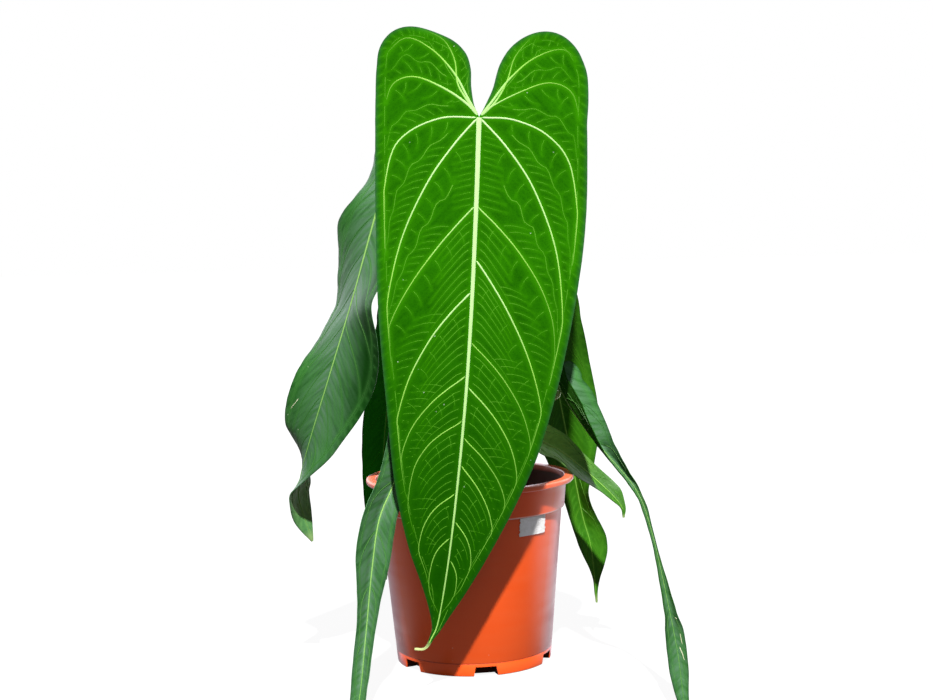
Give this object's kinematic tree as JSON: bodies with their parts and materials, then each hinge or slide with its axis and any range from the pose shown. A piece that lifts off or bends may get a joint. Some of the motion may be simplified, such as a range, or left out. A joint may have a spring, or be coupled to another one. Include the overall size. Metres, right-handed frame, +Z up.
{
  "type": "potted queen anthurium",
  "caption": "Queen anthurium with long heart-based leaves that hang from stalks on a short crown, growing in a round tapered nursery pot.",
  "frame": {"origin": "middle of the pot's foot, on the surface that the pot stands on", "axes": "+Z up the pot's axis, -Y towards the side that the largest leaf faces, +X to a viewer's right"},
  "size_m": [0.3589, 0.3736, 0.6035],
  "materials": {
    "pot": "satin terracotta-coloured moulded plastic",
    "label": "matte off-white paper tape, torn at both ends",
    "potting_mix": "rough dark bark-based potting mix",
    "crown": "dry fibrous stem with leaf scars",
    "leaf": "velvety deep green with pale raised veins",
    "young_leaf": "soft light green with a slight gloss",
    "stalk": "smooth yellow-green stalk"
  },
  "bodies": {
    "root": {"pot": "pot", "label": "label", "potting_mix": "potting_mix", "crown": "crown", "leaf_front": "leaf", "leaf_left": "leaf", "leaf_front_left": "leaf", "leaf_back_left": "leaf", "leaf_right_back": "leaf", "leaf_right_long": "leaf", "leaf_right_young": "young_leaf", "stalk_front": "stalk", "stalk_left": "stalk", "stalk_front_left": "stalk", "stalk_back_left": "stalk", "stalk_right_back": "stalk", "stalk_right_long": "stalk", "stalk_right_young": "stalk"}
  },
  "joints": []
}
